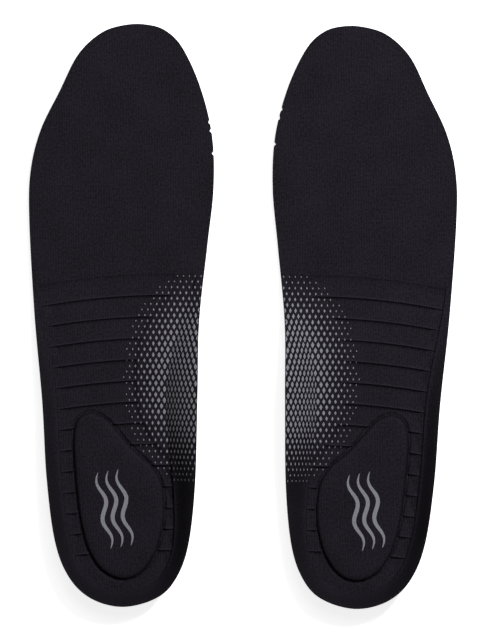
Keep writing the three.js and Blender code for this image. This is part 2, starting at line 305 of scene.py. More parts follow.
def distance_to(loop, x, y):
    """Distance from each point to a closed line, negative inside it."""
    points = np.stack([x.ravel(), y.ravel()], 1)
    nearest = np.full(len(points), np.inf)
    inside = np.zeros(len(points), bool)
    for a, b in zip(loop, np.roll(loop, -1, 0)):
        run = b - a
        share = np.clip((points - a) @ run / (run @ run), 0, 1)
        nearest = np.minimum(nearest, np.hypot(*(points - a - share[:, None] * run).T))
        crosses = (a[1] > points[:, 1]) != (b[1] > points[:, 1])
        crossing = a[0] + (points[:, 1] - a[1]) * run[0] / (run[1] or 1e-12)
        inside ^= crosses & (points[:, 0] < crossing)
    return np.where(inside, -nearest, nearest).reshape(x.shape)


def ridge_line(x):
    """How far the ridges' line is ahead of the middle, at a distance towards the big toe's side."""
    return RIDGE_SLOPE * x - RIDGE_BOW * x**2


class Rays:
    """Lines from the middle of an insole to its edge, anticlockwise from the toes' inner side.

    Each row of an array belongs to one ray, and holds the wall's size where the ray meets the edge.
    A ray with a bend of 1 runs along a ridge, and one with a bend of 0 is straight.
    """

    def __init__(self, insole, start, direction, bend=0):
        sizes = insole.sizes
        self.start, self.direction, self.bend = start, direction, bend
        level = start
        for _ in range(8):
            self.length = insole.reach(level, direction)[:, None]
            sideways = bend * ridge_line(direction[:, :1] * self.length)
            level = np.concatenate([start[:, :1], start[:, 1:] + sideways], 1)
        edge_y = level[:, 1:] + direction[:, 1:] * self.length
        self.place = edge_y / insole.length + 0.5
        self.inner = direction[:, :1] > 0
        self.arch = np.where(self.inner, hill(*ARCH, self.place), 0)
        arch_band = np.where(self.inner, hill(*ARCH_BAND, self.place), 0)
        wall_band = (sizes.wall - sizes.edge_band) * (1 - step(*WALL_FADE, self.place))
        self.rise = sizes.cup * (1 - step(*CUP_FADE, self.place)) + sizes.arch_wall * self.arch
        self.band = sizes.edge_band + wall_band + sizes.arch_wall_wider * arch_band
        edge_top = insole.floor(edge_y) + self.rise + sizes.arch_swell * self.arch
        thinner = (sizes.forefoot - sizes.rim) * step(0, RIM_THINNED, self.rise)
        thickness = sizes.forefoot - thinner
        self.under_band = self.band + sizes.undercut + sizes.arch_undercut * self.arch
        self.under_rise = np.maximum(edge_top - thickness, 0)
        self.length = self.length - insole.notch_depth(edge_y, self.inner)

    def at(self, inset):
        """Where a ray is, at insets from the edge."""
        return self.away(self.length - inset)

    def away(self, distance):
        """Where a ray is, at distances from the middle."""
        across, along = (self.direction[:, k : k + 1] * distance for k in (0, 1))
        return self.start[:, :1] + across, self.start[:, 1:] + along + self.bend * ridge_line(across)


class Insole:
    """The surfaces of one insole, in its own frame."""

    def __init__(self, side):
        self.side = side
        self.sizes = bpy.context.scene.insole_sizes
        low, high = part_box(f"{side}_footbed_foam")
        self.length, self.width = high.y - low.y, high.x - low.x
        self.centre = (low + high) / 2
        self.turn = 1 if side == "left" else -1
        self.spine = self.across(SPINE_ACROSS)
        self.edge = closed_curve([(self.across(a), self.along(b)) for a, b in OUTLINE], 20)
        pad_size = np.array([self.sizes.pad_width, self.sizes.pad_length])
        pad_corner = (-self.sizes.pad_width / 2, self.along(0) + self.sizes.pad_setback)
        self.pad = closed_curve(PAD_OUTLINE * pad_size + pad_corner, 10)

    def across(self, share):
        return (share - 0.5) * self.width

    def along(self, share):
        return (share - 0.5) * self.length

    def reach(self, start, direction):
        """Distance from each start to the edge, in its direction."""
        a, b = self.edge, np.roll(self.edge, -1, 0)
        run, to = b - a, a[None] - start[:, None]
        slope = direction[:, :1] * run[:, 1] - direction[:, 1:] * run[:, 0]
        slope = np.where(np.abs(slope) < 1e-12, 1e-12, slope)
        distance = (to[..., 0] * run[:, 1] - to[..., 1] * run[:, 0]) / slope
        share = (to[..., 0] * direction[:, 1:] - to[..., 1] * direction[:, :1]) / slope
        met = (share >= 0) & (share <= 1) & (distance > 0)
        return np.where(met, distance, 0).max(1)

    def notch_depth(self, y, inner):
        cuts = [np.maximum(0, 1 - np.abs(y - self.along(b)) / NOTCH_HALF) for b in NOTCHES[self.side]]
        return np.where(inner, NOTCH_DEPTH * np.maximum.reduce(cuts), 0)

    def rays(self, fine, coarse):
        """Rays a fine step apart at the edge behind the ball, and a coarse step apart ahead of it."""
        toe, heel, middle = (self.along(b) for b in (TOE_CENTRE, HEEL_CENTRE, RIDGES_END))
        notch_ys = [self.along(b) + k * NOTCH_HALF for b in NOTCHES[self.side] for k in (-1, 0, 1)]
        ys = np.concatenate(
            [
                np.linspace(toe, middle, round((toe - middle) / coarse), endpoint=False),
                self.ridge_steps(middle, heel, fine),
                [y for y in notch_ys if y < toe],
            ]
        )
        ys = np.append(np.sort(ys)[::-1], heel)
        half = self.width / 2
        toe_angles = np.linspace(0, math.pi, round(math.pi * half / coarse), endpoint=False)
        notch_angles = [math.atan2(y - toe, NOTCH_REACH * self.width) for y in notch_ys if y > toe]
        toe_angles = np.sort(np.concatenate([toe_angles, notch_angles]))
        heel_steps = round(math.pi * HEEL_WIDTH * half / fine)
        heel_angles = np.linspace(math.pi, 2 * math.pi, heel_steps, endpoint=False)
        rows = [
            *((toe, math.cos(a), math.sin(a)) for a in toe_angles),
            *((y, -1, 0) for y in ys[:-1]),
            *((heel, math.cos(a), math.sin(a)) for a in heel_angles),
            *((y, 1, 0) for y in ys[:0:-1]),
        ]
        y, dx, dy = np.array(rows, float).T
        share = y / self.length + 0.5
        bend = step(*BEND_START, share) * (1 - step(*BEND_END, share)) * (dy == 0)
        start = np.stack([np.full_like(y, self.spine), y], 1)
        return Rays(self, start, np.stack([dx, dy], 1), bend[:, None])

    def ridge_steps(self, front, back, fine):
        """Places between two that are closer together near each ridge."""
        pitch = self.sizes.ridge_pitch
        near = np.array(RIDGE_STEPS) * min(1, RIDGE_STEPS_APART / fine)
        rest = np.linspace(near[-1], near[0] + pitch, round((pitch - 2 * MM) / fine) + 1)
        steps = np.concatenate([near, rest[1:-1]])
        ridges = self.sizes.ridge_start - np.arange(-2, self.sizes.ridge_count)[:, None] * pitch
        places = (ridges - steps).ravel()
        return places[(places < front) & (places > back + 0.2 * MM)]

    def floor(self, y):
        share = y / self.length + 0.5
        drop = self.sizes.heel - self.sizes.forefoot
        return self.sizes.forefoot + drop * (1 - step(*FLOOR_DROP, share))

    def top(self, rays, inset):
        """Height of the smooth top, before anything is moulded in it."""
        wall = np.clip(1 - inset / rays.band, 0, 1)
        outwards = np.clip(1 - inset / rays.length, 0, 1)
        cup_shape = CUP_STRAIGHT * wall + (1 - CUP_STRAIGHT) * step(0, 1, wall)
        arch_shape = 1 - (1 - wall) ** self.sizes.arch_ease
        shape = cup_shape + (arch_shape - cup_shape) * rays.arch
        swell = self.sizes.arch_swell * rays.arch * outwards**2
        return self.floor(rays.at(inset)[1]) + rays.rise * shape + swell

    def under(self, rays, inset):
        """Height of the underside: upright at the heel's rim, sloping at the arch."""
        wall = np.clip(1 - inset / rays.under_band, 0, 1)
        return rays.under_rise * (1 - (1 - wall**2) ** (0.5 + 0.25 * rays.arch))

    def raised(self, height, rays, inset, thickness):
        """A surface moved up by a thickness that is measured square to the surface."""
        outer, inner = np.maximum(inset - 0.5 * MM, 0), inset + 0.5 * MM
        slope = (height(rays, outer) - height(rays, inner)) / (inner - outer)
        return height(rays, inset) + thickness * np.hypot(1, slope)

    def print_share(self, x, y):
        """0 at the middle of the printed half ellipse and 1 on its border."""
        across = (self.across(PRINT_EDGE) - x) / self.sizes.print_across
        along = (y - self.along(PRINT_CENTRE)) / self.sizes.print_along
        return np.hypot(across, along)

    def ridge_strength(self, line):
        """1 for a full ridge, by its number, and less for the faint one that starts the field."""
        full = (line >= 1) & (line < self.sizes.ridge_count)
        return full + FAINT_RIDGE * (line == 0)

    def relief(self, rays, inset):
        """What is moulded in the top, the ridged field and the pad with its channel.

        Gives its height, and the light and shade painted on the knit: above 0 for a painted highlight
        along a crest, and below 0 for painted shade in a groove, in the pad's channel and on the wall.
        """
        s = self.sizes
        x, y = rays.at(inset)
        phase = (s.ridge_start + ridge_line(x - self.spine) - y) / s.ridge_pitch
        last, line = np.floor(phase), np.round(phase)
        past, behind = (phase - last) * s.ridge_pitch, (phase - line) * s.ridge_pitch
        off_wall = inset - rays.band
        off_pad = distance_to(self.pad, x, y)

        inside = step(*FIELD_SIDE, off_wall)
        faint = FIELD_FAINT + (1 - FIELD_FAINT) * step(*FIELD_PRINT, self.print_share(x, y))
        front = step(*FIELD_FRONT, phase)
        back = 1 - step(*(s.ridge_count - 1 + k for k in BEADS_END), phase)
        field = inside * step(*FIELD_PAD, off_pad) * faint
        rim = front * back * faint

        # A shingle drops behind each ridge and then rises slowly to a bead along the next one.
        deeper = np.where(rays.inner, RIDGE_END_DEEPER["inner"], RIDGE_END_DEEPER["outer"])
        depth = s.ridge_step * (1 + deeper * np.exp(-np.maximum(off_wall, 0) / RIDGE_END))
        drop = depth * self.ridge_strength(last) * (1 - np.exp(-past / RIDGE_FALL))
        bead = s.ridge_bead * self.ridge_strength(line) * bell(*RIDGE_BEAD, behind)
        height = field * (bead - drop * (1 - past / s.ridge_pitch) - s.field_depth * front)
        crown = s.pad_height * (1 - np.exp(np.minimum(off_pad, 0) / PAD_SHOULDER))
        channel = s.channel_depth * bell(*PAD_CHANNEL, off_pad)
        border = s.border_height * bell(*PAD_BORDER, off_pad) * back
        height = height + inside * (crown - channel + border)
        height = height + s.rim_bead * rim * bell(*RIM_BEAD, off_wall)

        # Light and shade painted on the knit: highlights along ridges, rim and pad edge; shade in
        # grooves, channel and wall.
        pale = field * self.ridge_strength(line) * bell(*PAINTED_HIGHLIGHT_RIDGE, behind)
        pale = pale + PAINTED_LIGHT_SHARES["rim"] * rim * bell(*PAINTED_HIGHLIGHT_RIM, off_wall)
        pale = pale + PAINTED_LIGHT_SHARES["pad"] * inside * bell(*PAINTED_HIGHLIGHT_PAD, off_pad)
        painted_shade = field * self.ridge_strength(last) * np.exp(-past / PAINTED_SHADE_FALL)
        painted_shade = painted_shade + PAINTED_LIGHT_SHARES["channel"] * inside * bell(*PAINTED_SHADE_CHANNEL, off_pad)
        painted_wall_shade = step(*PAINTED_SHADE_WALL, off_wall) * step(*PAINTED_SHADE_WALL_FRONT, phase)
        painted_shade = painted_shade + PAINTED_LIGHT_SHARES["wall"] * painted_wall_shade
        return height, np.clip(pale, 0, 1) - np.clip(painted_shade, 0, 1)

    def insets(self, rays, wall_steps, floor_steps, edge=(), foot=()):
        """Insets from the edge to the middle, with extra ones at the edge and at the wall's foot."""
        wall = np.linspace(0, 1, wall_steps, endpoint=False) * rays.band
        foot = rays.band + np.array([(0, *foot)])
        floor = foot[:, -1:] + np.linspace(0, 1, floor_steps + 1)[1:] * (rays.length - foot[:, -1:])
        near = 0 * rays.band + np.array([edge]) if edge else wall[:, :0]
        return np.sort(np.concatenate([wall, near, foot, floor], 1), 1)

    def place(self, x, y, z):
        """Points in the row frame."""
        x, y, z = np.broadcast_arrays(x, y, z)
        return np.stack([self.centre.x + self.turn * x, self.centre.y + y, z], -1)


# ---- Meshes -------------------------------------------------------------------------------------


def link(name, mesh, material=None):
    """An object at the origin."""
    piece = bpy.data.objects.new(name, mesh)
    bpy.context.scene.collection.objects.link(piece)
    if material:
        mesh.materials.append(material)
    return piece


def swept_mesh(name, insole, rows, layers=None, around=True):
    """A mesh through rows of points, one row for each ray, from the top's middle out and back."""
    count, across = rows.shape[:2]
    index = np.arange(count * across).reshape(count, across)
    following = np.roll(index, -1, 0) if around else index[1:]
    index = index if around else index[:-1]
    corners = [index[:, :-1], index[:, 1:], following[:, 1:], following[:, :-1]]
    faces = np.stack(corners[:: insole.turn], -1).reshape(-1, 4)
    mesh = bpy.data.meshes.new(name)
    mesh.from_pydata(rows.reshape(-1, 3).tolist(), [], faces.tolist())
    for label, values in (layers or {}).items():
        kind, field = ("FLOAT_VECTOR", "vector") if values.ndim == 3 else ("FLOAT", "value")
        layer = mesh.attributes.new(label, kind, "POINT")
        layer.data.foreach_set(field, values.astype(np.float32).ravel())
    close(mesh)
    return mesh


def there_and_back(high, low):
    """Rows that run from the middle of the top out to the edge, and back underneath."""
    return np.concatenate([high[:, ::-1], low], 1)


def close(mesh):
    """Joins points that lie on each other, drops faces without area and smooths what is left."""
    work = bmesh.new()
    work.from_mesh(mesh)
    bmesh.ops.remove_doubles(work, verts=work.verts, dist=0.004 * MM)
    bmesh.ops.dissolve_degenerate(work, edges=work.edges, dist=0.001 * MM)
    work.to_mesh(mesh)
    work.free()
    mesh.shade_smooth()
    mesh.set_sharp_from_angle(angle=math.radians(55))


def rounded(insets, radius):
    """How far an edge that is rounded by a radius drops, at insets from it."""
    left = np.clip(radius - insets, 0, radius)
    return radius - np.sqrt(np.maximum(radius**2 - left**2, 0))


def cover_mesh(insole):
    sizes = insole.sizes
    rays = insole.rays(fine=0.55 * MM, coarse=2 * MM)
    # Extra lines round the edge, and across the bead at the wall's foot.
    edge = tuple(k * MM for k in (0.12, 0.3))
    foot = tuple(k * MM for k in (-1.2, -0.9, -0.6, -0.3, 0.2, 0.5, 0.8, 1.2))
    inset = insole.insets(rays, 13, 60, edge, foot)
    smooth = insole.top(rays, inset)
    relief, painted_light_and_shade = insole.relief(rays, inset)
    high = smooth + relief - rounded(inset, COVER_ROUND)
    x, y = rays.at(inset)

    # The knit's own coordinates follow the surface outwards along each ray.
    run = np.hypot(-np.diff(inset, axis=1), np.diff(smooth, axis=1))
    walked = np.cumsum(np.concatenate([0 * inset[:, :1], run[:, ::-1]], 1), 1)[:, ::-1]
    cloth = np.stack([*rays.away(walked), 0 * x], -1)

    inset_low = insole.insets(rays, 4, 6)
    x_low, y_low = rays.at(inset_low)
    low = insole.raised(insole.top, rays, inset_low, -sizes.cover) - relief_room(rays, inset_low)
    rows = there_and_back(insole.place(x, y, high), insole.place(x_low, y_low, low))
    layers = {
        "cloth": there_and_back(cloth, np.stack([x_low, y_low, low], -1)),
        # Painted highlight and painted shade, which the knit's colour takes up.
        "painted_light_and_shade": there_and_back(painted_light_and_shade, 0 * x_low),
    }
    return swept_mesh(f"{insole.side}_cover", insole, rows, layers)


def relief_room(rays, inset):
    """How much lower the cover's underside and the foam's top are, for what is moulded above."""
    return RELIEF_ROOM * step(*RELIEF_ROOM_START, inset - rays.band)


def shell_span(insole, rays, margin):
    """First and last inset of the shell under each ray, or of its recess when a margin is given."""
    sizes = insole.sizes
    tip = np.where(rays.inner, SHELL_TIP["inner"], SHELL_TIP["outer"])
    wing = np.where(rays.inner, sizes.shell_wing * step(WING_START, ARCH[1], rays.place), 0)
    half = (sizes.shell_band + wing) / 2
    taper = np.sqrt(np.clip((tip - rays.place) / TIP_TAPER, 0, 1))
    width = half * taper + margin * (taper > 0)
    middle = sizes.shell_edge + half
    return middle - width, middle + width, taper > 0


def sole_panel(insole, x, y):
    """1 in the two studded panels of the sole, under the ball and under the heel, and 0 outside."""
    ball = distance_to(insole.edge, x, y) + PANEL_INSET
    ball = np.maximum(ball, insole.along(PANEL_BACK) - y)
    heel = distance_to(insole.pad, x, y) - PANEL_PAST_PAD
    return 1 - step(*PANEL_SLOPE, np.minimum(ball, heel))


def footbed_mesh(insole):
    sizes = insole.sizes
    rays = insole.rays(fine=1.1 * MM, coarse=1.6 * MM)
    inset = insole.insets(rays, 7, 26)
    x, y = rays.at(inset)
    high = insole.raised(insole.top, rays, inset, -sizes.cover - sizes.bond) - relief_room(rays, inset)
    pocket = 1 - step(*POCKET_WALL, distance_to(insole.pad, x, y))
    high = high - pocket * np.maximum(high - POCKET_FLOOR, 0)

    # The shell's recess has upright sides, so the mesh has two lines at each of its borders.
    first, last, has_shell = shell_span(insole, rays, SHELL_CLEARANCE)
    lip = 0.02 * MM
    inset_low = np.concatenate(
        [
            np.linspace(0, 1, 7) * (first - lip),
            first + np.linspace(0, 1, 8) * (last - first),
            (last + lip) + np.linspace(0, 1, 22) * (rays.length - last - lip),
            0 * rays.length + [0.2 * MM, 0.5 * MM],
        ],
        1,
    )
    inset_low = np.sort(inset_low, 1)
    x_low, y_low = rays.at(inset_low)
    in_recess = has_shell & (inset_low >= first - lip / 2) & (inset_low <= last + lip / 2)
    recess = sizes.shell_recess + sizes.shell + sizes.bond
    low = insole.raised(insole.under, rays, inset_low, np.where(in_recess, recess, 0))
    low = low + rounded(inset_low, SOLE_ROUND)
    low = low + np.where(in_recess, 0, sizes.sole_panel * sole_panel(insole, x_low, y_low))
    rows = there_and_back(insole.place(x, y, high), insole.place(x_low, y_low, low))
    return swept_mesh(f"{insole.side}_footbed", insole, rows)


def shell_mesh(insole):
    sizes = insole.sizes
    rays = insole.rays(fine=1.2 * MM, coarse=1.6 * MM)
    first, last, has_shell = shell_span(insole, rays, 0)
    chosen = np.nonzero(has_shell[:, 0])[0]
    around = np.linspace(0, 2 * math.pi, 41)
    # The section is a flat stadium: insets run between the borders, and the thickness is rounded.
    flat = np.sign(np.cos(around)) * np.abs(np.cos(around)) ** 0.5
    thick = np.sign(np.sin(around)) * np.abs(np.sin(around)) ** 0.35
    inset = (first + last) / 2 - (last - first) / 2 * flat
    share = np.clip((inset - first) / np.maximum(last - first, 1e-9), 0, 1)
    rib = RIB_HEIGHT * rays.arch * sum(bell(middle, RIB_WIDTH, share) for middle in SHELL_RIBS)
    offset = sizes.shell_recess + sizes.shell / 2 * (1 + thick) - np.where(thick < 0, rib, 0)
    low = insole.raised(insole.under, rays, inset, offset)
    x, y = rays.at(inset)
    rows = insole.place(x, y, low)[chosen]
    ends = [np.repeat(rows[k].mean(0)[None, None], rows.shape[1], 1) for k in (0, -1)]
    rows = np.concatenate([ends[0], rows, ends[1]])
    return swept_mesh(f"{insole.side}_shell", insole, rows, around=False)


def cushion_mesh(insole):
    """A pear-shaped gel pad with round edges and a waffled underside."""
    sizes = insole.sizes
    centre = insole.pad.mean(0)
    around = np.arctan2(insole.pad[:, 1] - centre[1], insole.pad[:, 0] - centre[0])
    outline = insole.pad[np.argsort(around)]
    run = np.roll(outline, -1, 0) - np.roll(outline, 1, 0)
    outward = np.stack([run[:, 1], -run[:, 0]], 1) / np.hypot(*run.T)[:, None]
    outline = outline - outward * CUSHION_INSET
    bottom = POCKET_FLOOR + CUSHION_CLEARANCE["under"]
    top = sizes.heel - sizes.cover - RELIEF_ROOM - sizes.bond - CUSHION_CLEARANCE["over"]
    share = np.sin(np.linspace(0, math.pi / 2, 30))
    x, y = np.moveaxis(centre + (outline - centre)[:, None] * share[:, None], -1, 0)
    round_off = rounded((1 - share) * CUSHION_REACH, CUSHION_ROUND)
    dimples = np.cos(x * 2 * math.pi / WAFFLE_PITCH) * np.cos(y * 2 * math.pi / WAFFLE_PITCH)
    waffle = WAFFLE_HEIGHT * (1 + dimples) * (share < WAFFLE_END)
    low = insole.place(x, y, bottom + round_off + waffle)
    rows = np.concatenate([insole.place(x, y, top - round_off), low[:, ::-1]], 1)
    return swept_mesh(f"{insole.side}_cushion", insole, rows)


# ---- Node trees ---------------------------------------------------------------------------------


class Value:
    """A node's output that can be used in sums."""

    def __init__(self, tree, socket):
        self.tree, self.socket = tree, socket

    def maths(self, operation, *inputs):
        return self.tree.node("ShaderNodeMath", {"operation": operation}, dict(enumerate(inputs)))

    def __add__(self, other):
        return self.maths("ADD", self, other)

    def __radd__(self, other):
        return self.maths("ADD", other, self)

    def __sub__(self, other):
        return self.maths("SUBTRACT", self, other)

    def __rsub__(self, other):
        return self.maths("SUBTRACT", other, self)

    def __mul__(self, other):
        return self.maths("MULTIPLY", self, other)

    def __rmul__(self, other):
        return self.maths("MULTIPLY", other, self)

    def __truediv__(self, other):
        return self.maths("DIVIDE", self, other)

    def __pow__(self, other):
        return self.maths("POWER", self, other)

    def __abs__(self):
        return self.maths("ABSOLUTE", self)

    def sin(self):
        return self.maths("SINE", self)

    def fraction(self):
        return self.maths("FRACT", self)

    def smooth(self, low, high):
        """0 below low, 1 above high, and a smooth change between them."""
        inputs = {"Value": self, "From Min": low, "From Max": high}
        return self.tree.node("ShaderNodeMapRange", {"interpolation_type": "SMOOTHSTEP"}, inputs)


class Tree:
    """A shader or geometry node tree under construction."""

    def __init__(self, tree):
        self.tree = tree
        tree.nodes.clear()

    def node(self, kind, settings=None, inputs=None, output=0):
        """Adds a node with its settings, then its inputs, and gives one of its outputs.

        An input that takes several links is given a list of them.
        """
        made = self.tree.nodes.new(kind)
        for key, setting in (settings or {}).items():
            setattr(made, key, setting)
        for key, given in (inputs or {}).items():
            for value in given if isinstance(given, list) else [given]:
                if isinstance(value, Value):
                    self.tree.links.new(value.socket, made.inputs[key])
                else:
                    made.inputs[key].default_value = value
        self.last = made
        return Value(self, made.outputs[output]) if made.outputs else made

    def also(self, output):
        """Another output of the node that was added last."""
        return Value(self, self.last.outputs[output])


def new_shader(name):
    material = bpy.data.materials.new(name)
    material.use_nodes = True
    return material, Tree(material.node_tree)


def finish_shader(tree, settings, tint, rough, normal=None):
    """Adds the surface shader, with its constants in settings."""
    inputs = {**settings, "Base Color": tint, "Roughness": rough}
    if normal:
        inputs["Normal"] = normal
    surface = tree.node("ShaderNodeBsdfPrincipled", None, inputs)
    tree.node("ShaderNodeOutputMaterial", None, {"Surface": surface})


def object_place(tree):
    return tree.node("ShaderNodeTexCoord", output="Object")


def noise(tree, place, scale, detail=2.0, rough=0.5):
    inputs = {"Vector": place, "Scale": scale, "Detail": detail, "Roughness": rough}
    return tree.node("ShaderNodeTexNoise", None, inputs)


def cells(tree, place, scale):
    """Distance from the middle of the nearest small cell, in cells."""
    inputs = {"Vector": place, "Scale": scale}
    return tree.node("ShaderNodeTexVoronoi", {"feature": "F1"}, inputs, output="Distance")


def mix(tree, factor, low, high):
    inputs = {0: factor, 6: low, 7: high}
    return tree.node("ShaderNodeMix", {"data_type": "RGBA"}, inputs, output=2)


def bump(tree, height, strength, distance):
    inputs = {"Height": height, "Strength": strength, "Distance": distance}
    return tree.node("ShaderNodeBump", None, inputs)


def knit_height(tree, cloth):
    """Height of a fine knit, from 0 to 1: columns of small chevrons."""
    tree.node("ShaderNodeSeparateXYZ", None, {"Vector": cloth})
    x, y = tree.also("X"), tree.also("Y")
    wale, course = 0.8 * MM, 0.62 * MM
    column = abs((x / wale).fraction() - 0.5) * 2
    cord = 1 - column**2
    stitch = ((y / course - column * 0.55) * (2 * math.pi)).sin() * 0.5 + 0.5
    return cord * (stitch * 0.45 + 0.55)


def scaled(rgb, factor):
    return (*(min(1, channel * factor) for channel in rgb), 1)


def knit_material(name, base, ink=False):
    """Black knit, or the same knit under grey ink."""
    material, tree = new_shader(name)
    cloth = tree.node("ShaderNodeAttribute", {"attribute_name": "cloth"}, output="Vector")
    height = knit_height(tree, cloth)
    fuzz = noise(tree, cloth, 2600.0, 3.0, 0.6)
    flecks = noise(tree, cloth, 900.0, 3.0, 0.7)
    patches = noise(tree, cloth, 55.0, 2.0, 0.55)
    shade = height * 0.35 + fuzz * 0.25 + flecks.smooth(0.25, 0.75) * 0.4 + patches * 0.25
    low, high = (0.8, 1.15) if ink else (0.1, 2.35)
    tint = mix(tree, shade.smooth(0.2, 1.0), scaled(base, low), scaled(base, high))
    if not ink:
        # Painted light and shade: up to 3.2 times paler for painted highlights on crests, and down to
        # 0.15 times for painted shade in grooves, the channel and on the walls.
        painted_light_and_shade = tree.node("ShaderNodeAttribute", {"attribute_name": "painted_light_and_shade"}, output="Fac")
        tint = mix(tree, painted_light_and_shade.smooth(0, 1) * 0.5, tint, scaled(base, 3.2))
        tint = mix(tree, (painted_light_and_shade * -1).smooth(0, 1) * 0.65, tint, scaled(base, 0.15))
    normal = bump(tree, height * 0.6 + fuzz * 0.3 + flecks * 0.6, 0.9, 0.16 * MM)
    settings = {
        "Specular IOR Level": 0.1,
        "Sheen Weight": 0.006,
        "Sheen Roughness": 0.4,
        "Sheen Tint": (0.9, 0.88, 1.0, 1.0),
    }
    finish_shader(tree, settings, tint, fuzz * 0.2 + 0.72, normal)
    return material


def foam_material(name, base):
    """Moulded foam: a matt skin with fine open cells."""
    material, tree = new_shader(name)
    place = object_place(tree)
    pores = cells(tree, place, 1700.0)
    grain = noise(tree, place, 900.0, 4.0, 0.6)
    patches = noise(tree, place, 40.0)
    shade = (pores * 0.8 + grain * 0.4 + patches * 0.4).smooth(0.3, 1.1)
    tint = mix(tree, shade, scaled(base, 0.6), scaled(base, 1.7))
    normal = bump(tree, pores + grain * 0.5, 0.45, 0.12 * MM)
    finish_shader(tree, {"Specular IOR Level": 0.3}, tint, grain * 0.2 + 0.72, normal)
    return material


def shell_material(name, base):
    """Flexible moulded plastic with a fine spark-eroded grain."""
    material, tree = new_shader(name)
    place = object_place(tree)
    grain = noise(tree, place, 1500.0, 3.0, 0.55)
    flow = noise(tree, place, 25.0)
    tint = mix(tree, (flow * 0.7 + grain * 0.3).smooth(0.2, 0.8), scaled(base, 0.8), scaled(base, 1.25))
    normal = bump(tree, grain, 0.25, 0.05 * MM)
    finish_shader(tree, {}, tint, grain * 0.15 + flow * 0.1 + 0.32, normal)
    return material


def gel_material(name, base):
    """Soft tacky gel with a slight bloom and tiny bubbles."""
    material, tree = new_shader(name)
    place = object_place(tree)
    bloom = noise(tree, place, 60.0, 3.0)
    bubbles = 1 - cells(tree, place, 700.0).smooth(0.04, 0.16)
    tint = mix(tree, bloom * 0.8 + bubbles * 0.3, scaled(base, 0.85), scaled(base, 1.5))
    normal = bump(tree, bloom + bubbles * 0.2, 0.15, 0.2 * MM)
    settings = {"Subsurface Weight": 0.3, "Subsurface Radius": (0.004, 0.005, 0.006), "IOR": 1.45}
    finish_shader(tree, settings, tint, bloom * 0.25 + 0.22, normal)
    return material


# ---- Geometry node trees ------------------------------------------------------------------------


def new_geometry_tree(name, inputs):
    """A geometry tree with named inputs, given as name: (socket type, default)."""
    group = bpy.data.node_groups.new(name, "GeometryNodeTree")
    group.interface.new_socket("Geometry", in_out="INPUT", socket_type="NodeSocketGeometry")
    for label, (kind, default) in inputs.items():
        socket = group.interface.new_socket(label, in_out="INPUT", socket_type="NodeSocket" + kind)
        if default is not None:
            socket.default_value = default
    group.interface.new_socket("Geometry", in_out="OUTPUT", socket_type="NodeSocketGeometry")
    tree = Tree(group)
    tree.node("NodeGroupInput")
    sockets = {label: tree.also(label) for label in ("Geometry", *inputs)}
    return group, tree, sockets


def finish_geometry_tree(tree, geometry, material):
    whole = tree.node("GeometryNodeRealizeInstances", None, {"Geometry": geometry})
    coated = tree.node("GeometryNodeSetMaterial", None, {"Geometry": whole, "Material": material})
    tree.node("NodeGroupOutput", None, {"Geometry": coated})


def run_geometry_tree(piece, group, values):
    """Runs a tree on a piece, and leaves its result as the piece's plain mesh."""
    modifier = piece.modifiers.new(group.name, "NODES")
    modifier.node_group = group
    for item in group.interface.items_tree:
        if item.in_out == "INPUT" and item.name in values:
            modifier[item.identifier] = values[item.name]
    bpy.context.view_layer.update()
    depsgraph = bpy.context.evaluated_depsgraph_get()
    mesh = bpy.data.meshes.new_from_object(piece.evaluated_get(depsgraph), depsgraph=depsgraph)
    piece.modifiers.remove(modifier)
    piece.data = mesh
    close(mesh)


def vector(tree, **parts):
    """A vector from its parts X, Y and Z."""
    return tree.node("ShaderNodeCombineXYZ", None, parts)


def vector_maths(tree, operation, inputs):
    return tree.node("ShaderNodeVectorMath", {"operation": operation}, inputs)


def repeated(tree, points, shape, **more):
    """A shape on each point, as real geometry."""
    inputs = {"Points": points, "Instance": shape, **more}
    placed = tree.node("GeometryNodeInstanceOnPoints", None, inputs)
    return tree.node("GeometryNodeRealizeInstances", None, {"Geometry": placed})


def laid_on(tree, flat, surface, thickness):
    """Lays flat faces on a surface from above and gives them a thickness, closed all round.

    They take over the surface's cloth coordinates, so that its knit runs on through them. What
    reaches past the surface's edge is cut off.
    """
    info = {"transform_space": "RELATIVE"}
    target = tree.node("GeometryNodeObjectInfo", info, {"Object": surface}, output="Geometry")
    kind = {"data_type": "FLOAT_VECTOR"}
    named = tree.node("GeometryNodeInputNamedAttribute", kind, {"Name": "cloth"})
    place = tree.node("GeometryNodeInputPosition")
    ray = {
        "Target Geometry": target,
        "Attribute": named,
        "Source Position": vector_maths(tree, "ADD", {0: place, 1: (0, 0, 0.2)}),
        "Ray Direction": (0, 0, -1),
        "Ray Length": 1.0,
    }
    tree.node("GeometryNodeRaycast", kind, ray)
    wanted = ("Is Hit", "Hit Position", "Hit Normal", "Attribute")
    met, hit, normal, cloth = (tree.also(output) for output in wanted)
    missed = tree.node("FunctionNodeBooleanMath", {"operation": "NOT"}, {0: met})
    flat = tree.node("GeometryNodeDeleteGeometry", None, {"Geometry": flat, "Selection": missed})
    on_points = {**kind, "domain": "POINT"}
    layer = {"Geometry": flat, "Name": "cloth", "Value": cloth}
    stored = tree.node("GeometryNodeStoreNamedAttribute", on_points, layer)
    gap = vector_maths(tree, "SCALE", {0: normal, "Scale": INK_GAP})
    lifted = vector_maths(tree, "ADD", {0: hit, 1: gap})
    laid = tree.node("GeometryNodeSetPosition", None, {"Geometry": stored, "Position": lifted})
    rise = {"Mesh": laid, "Offset Scale": thickness, "Individual": False}
    raised = tree.node("GeometryNodeExtrudeMesh", {"mode": "FACES"}, rise)
    back = tree.node("GeometryNodeFlipFaces", None, {"Mesh": laid})
    joined = tree.node("GeometryNodeJoinGeometry", None, {"Geometry": [raised, back]})
    return tree.node("GeometryNodeMergeByDistance", None, {"Geometry": joined, "Distance": 0.002 * MM})


